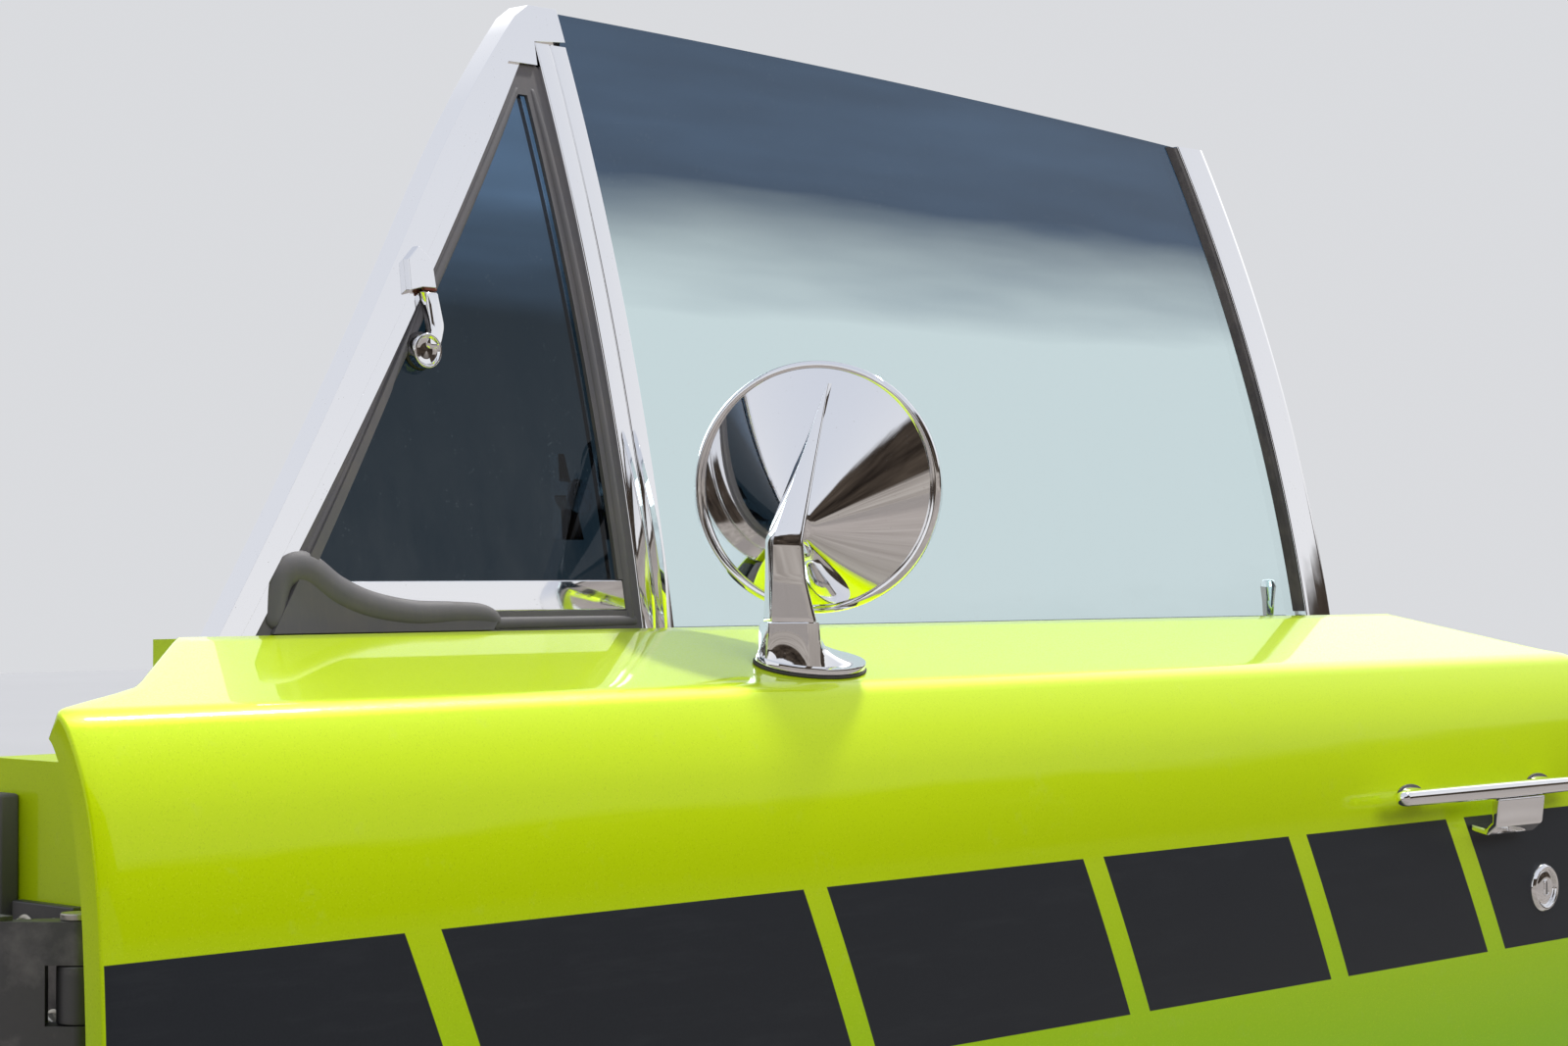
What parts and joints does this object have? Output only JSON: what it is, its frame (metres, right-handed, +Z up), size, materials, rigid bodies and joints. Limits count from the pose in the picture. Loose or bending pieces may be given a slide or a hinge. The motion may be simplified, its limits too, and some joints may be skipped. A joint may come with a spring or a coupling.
{
  "type": "car door",
  "caption": "Front door of a two-door coupe: steel shell, vent window and door glass, round mirror, handle, lock, hinges and cabin trim.",
  "frame": {"origin": "centre of the upper hinge's four bolts, on the hinge's face against the pillar", "axes": "+X to the car's rear, +Y inboard to the cabin, +Z up"},
  "size_m": [1.1527, 0.2594, 0.9205],
  "materials": {
    "lime_paint": "bright lime metallic lacquer, satin blue-black broken stripe along the side",
    "hinge_steel": "plated steel, dull",
    "zinc_steel": "yellow-grey zinc plate",
    "black_rubber": "moulded rubber, weathered brown-black",
    "chrome": "polished chrome and bright stainless steel",
    "brown_washer": "red-brown fibre washer",
    "tinted_glass": "lightly tinted side glass",
    "mirror_silver": "silvered mirror glass",
    "black_vinyl": "grained black vinyl with pressed channels",
    "black_plastic": "moulded black plastic"
  },
  "bodies": {
    "pillar": {"upper_pillar_leaf": "hinge_steel", "lower_pillar_leaf": "hinge_steel", "upper_hinge_pin": "hinge_steel", "lower_hinge_pin": "hinge_steel"},
    "door": {"outer_skin": "lime_paint", "inner_panel": "lime_paint", "upper_door_leaf": "hinge_steel", "lower_door_leaf": "hinge_steel", "latch_case": "zinc_steel", "latch_plate": "zinc_steel", "latch_fork": "zinc_steel", "door_seal": "black_rubber", "belt_rubber_outer": "black_rubber", "belt_rubber_inner": "black_rubber", "vent_rubber": "black_rubber", "glass_seal": "black_rubber", "vent_pad": "black_rubber", "mirror_gasket": "black_rubber", "vent_frame": "chrome", "division_bar": "chrome", "vent_channel": "chrome", "vent_bracket": "chrome", "vent_arm": "chrome", "vent_latch": "chrome", "glass_strip": "chrome", "mirror_base": "chrome", "mirror_head": "chrome", "mirror_bezel": "chrome", "mirror_arm": "chrome", "handle_bar": "chrome", "handle_trigger": "chrome", "lock_cylinder": "chrome", "window_crank": "chrome", "pull_plate": "chrome", "pull_lever": "chrome", "lock_knob": "chrome", "vent_washer": "brown_washer", "vent_pane": "tinted_glass", "door_glass": "tinted_glass", "mirror_glass": "mirror_silver", "trim_panel": "black_vinyl", "armrest": "black_vinyl", "crank_knob": "black_plastic"}
  },
  "joints": [
    {"name": "door_swing", "type": "hinge", "parent": "pillar", "child": "door", "pos_m": [0.026, -0.0435, 0], "axis": [0, 0, -1], "range_deg": [0, 68]}
  ]
}
